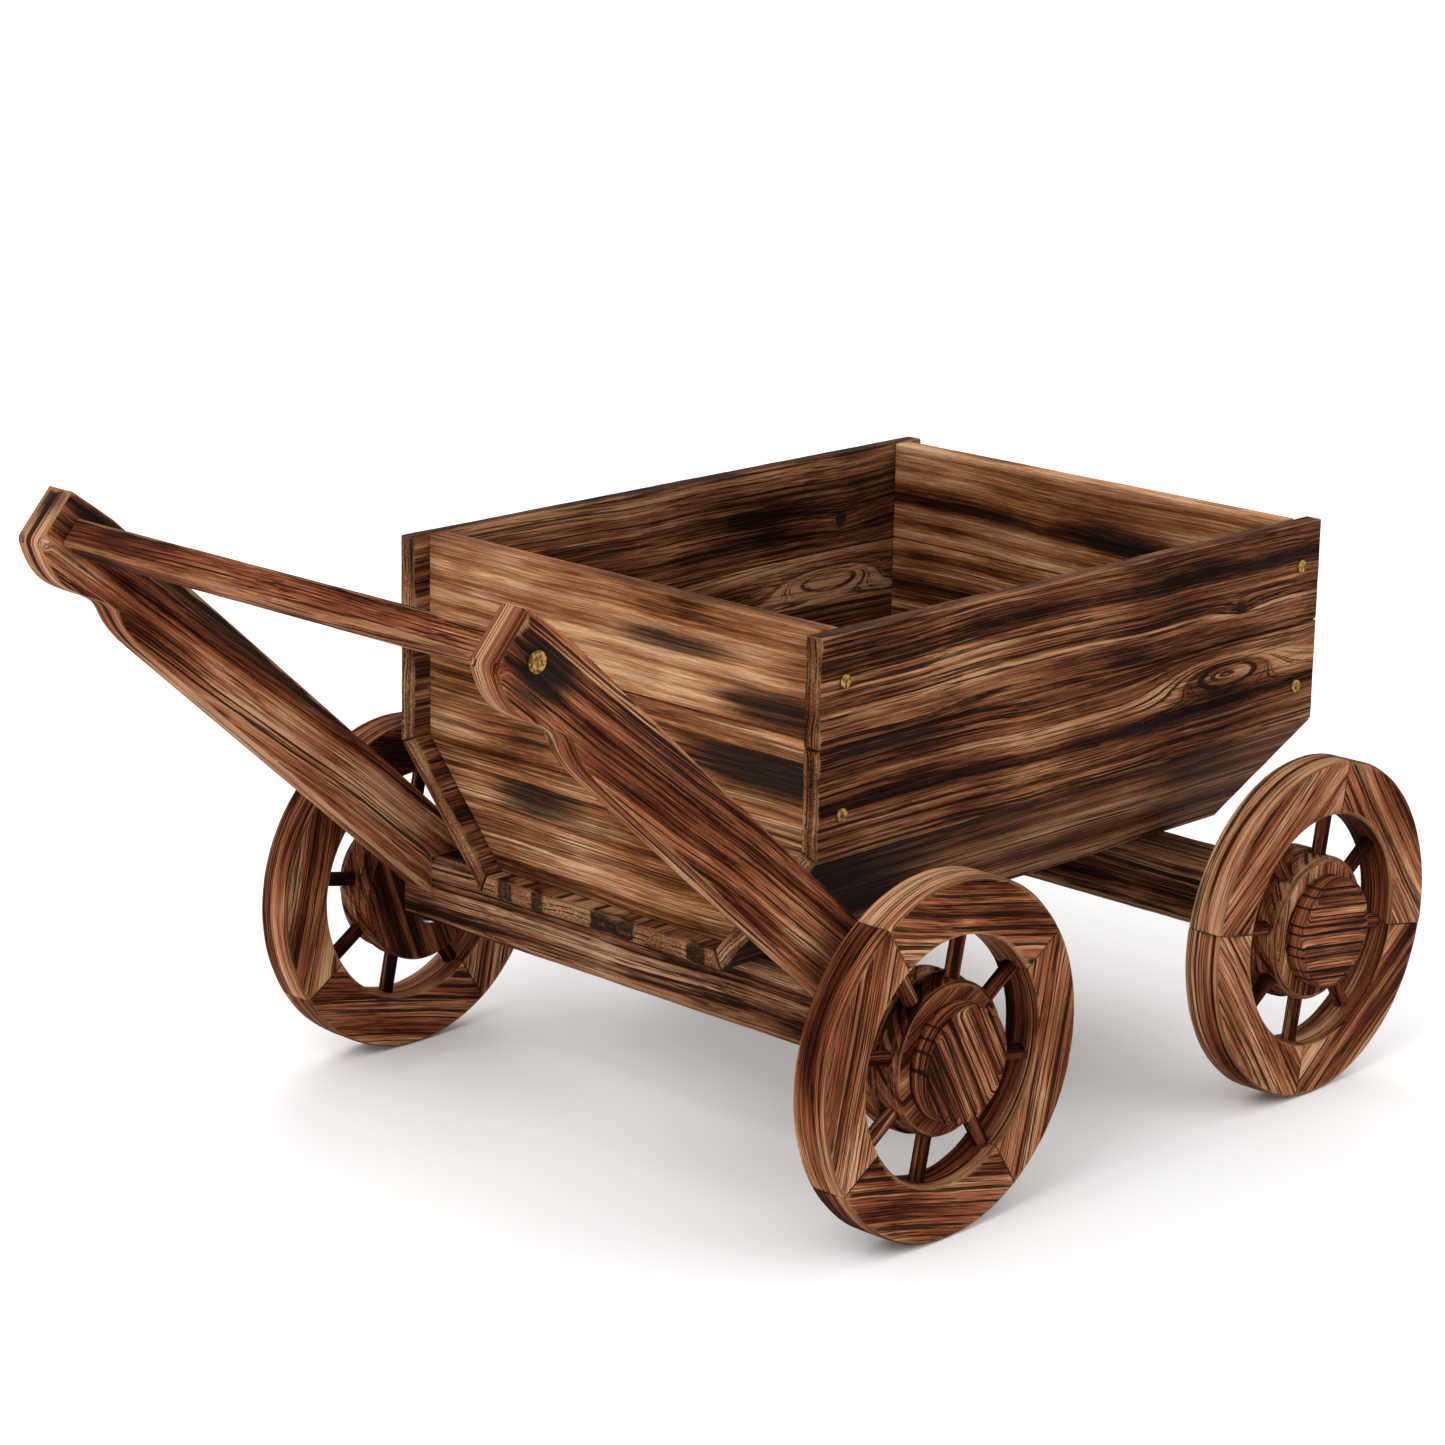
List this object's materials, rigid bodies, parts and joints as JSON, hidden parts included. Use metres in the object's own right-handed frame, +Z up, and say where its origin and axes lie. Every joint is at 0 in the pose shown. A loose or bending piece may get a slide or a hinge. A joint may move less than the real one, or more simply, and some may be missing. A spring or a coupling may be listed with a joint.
{
  "type": "wagon planter",
  "caption": "Wooden garden wagon planter: a six-sided plank trough on two beams, rolling spoked wheels and a raked handle to push or pull it.",
  "frame": {"origin": "on the ground, under the centre of the whole wagon's box", "axes": "+X from the handle to the rear, +Y to the left side, +Z up"},
  "size_m": [0.7546, 0.486, 0.4002],
  "materials": {
    "trough_planks": "scorched and brushed fir, satin clear coat, dark grain",
    "end_panels": "scorched and brushed fir, satin clear coat, horizontal grain",
    "beams": "scorched and brushed fir, satin clear coat",
    "handle": "scorched and brushed fir, satin clear coat, lighter end cuts",
    "rims": "scorched and brushed fir, satin clear coat, grain along each felly",
    "hubs": "scorched and brushed fir, satin clear coat",
    "brass_screws": "tarnished brass-plated screw heads",
    "zinc_steel": "zinc-plated steel"
  },
  "bodies": {
    "wagon": {"side_plank_upper_left": "trough_planks", "side_plank_lower_left": "trough_planks", "hopper_plank_left": "trough_planks", "side_plank_upper_right": "trough_planks", "side_plank_lower_right": "trough_planks", "hopper_plank_right": "trough_planks", "floor_board": "trough_planks", "end_panel_front_upper": "end_panels", "end_panel_front_middle": "end_panels", "end_panel_front_lower": "end_panels", "end_panel_rear_upper": "end_panels", "end_panel_rear_middle": "end_panels", "end_panel_rear_lower": "end_panels", "front_beam": "beams", "rear_beam": "beams", "handle_arm_left": "handle", "handle_arm_right": "handle", "handle_crossbar": "handle", "panel_screws": "brass_screws", "handle_screws": "brass_screws", "front_axle": "zinc_steel", "rear_axle": "zinc_steel", "axle_washers": "zinc_steel", "axle_nuts": "zinc_steel", "beam_screws": "zinc_steel", "arm_screws": "zinc_steel"},
    "wheel_front_left": {"wheel_front_left_felly_1": "rims", "wheel_front_left_felly_2": "rims", "wheel_front_left_felly_3": "rims", "wheel_front_left_felly_4": "rims", "wheel_front_left_spokes": "hubs", "wheel_front_left_hub_inner": "hubs", "wheel_front_left_hub_outer": "hubs", "wheel_front_left_hub_cap": "hubs"},
    "wheel_front_right": {"wheel_front_right_felly_1": "rims", "wheel_front_right_felly_2": "rims", "wheel_front_right_felly_3": "rims", "wheel_front_right_felly_4": "rims", "wheel_front_right_spokes": "hubs", "wheel_front_right_hub_inner": "hubs", "wheel_front_right_hub_outer": "hubs", "wheel_front_right_hub_cap": "hubs"},
    "wheel_rear_left": {"wheel_rear_left_felly_1": "rims", "wheel_rear_left_felly_2": "rims", "wheel_rear_left_felly_3": "rims", "wheel_rear_left_felly_4": "rims", "wheel_rear_left_spokes": "hubs", "wheel_rear_left_hub_inner": "hubs", "wheel_rear_left_hub_outer": "hubs", "wheel_rear_left_hub_cap": "hubs"},
    "wheel_rear_right": {"wheel_rear_right_felly_1": "rims", "wheel_rear_right_felly_2": "rims", "wheel_rear_right_felly_3": "rims", "wheel_rear_right_felly_4": "rims", "wheel_rear_right_spokes": "hubs", "wheel_rear_right_hub_inner": "hubs", "wheel_rear_right_hub_outer": "hubs", "wheel_rear_right_hub_cap": "hubs"}
  },
  "joints": [
    {"name": "wheel_front_left_spin", "type": "hinge", "parent": "wagon", "child": "wheel_front_left", "pos_m": [-0.06969, 0, 0.105], "axis": [0, 1, 0], "continuous": true},
    {"name": "wheel_front_right_spin", "type": "hinge", "parent": "wagon", "child": "wheel_front_right", "pos_m": [-0.06969, 0, 0.105], "axis": [0, 1, 0], "continuous": true},
    {"name": "wheel_rear_left_spin", "type": "hinge", "parent": "wagon", "child": "wheel_rear_left", "pos_m": [0.27231, 0, 0.105], "axis": [0, 1, 0], "continuous": true},
    {"name": "wheel_rear_right_spin", "type": "hinge", "parent": "wagon", "child": "wheel_rear_right", "pos_m": [0.27231, 0, 0.105], "axis": [0, 1, 0], "continuous": true}
  ]
}
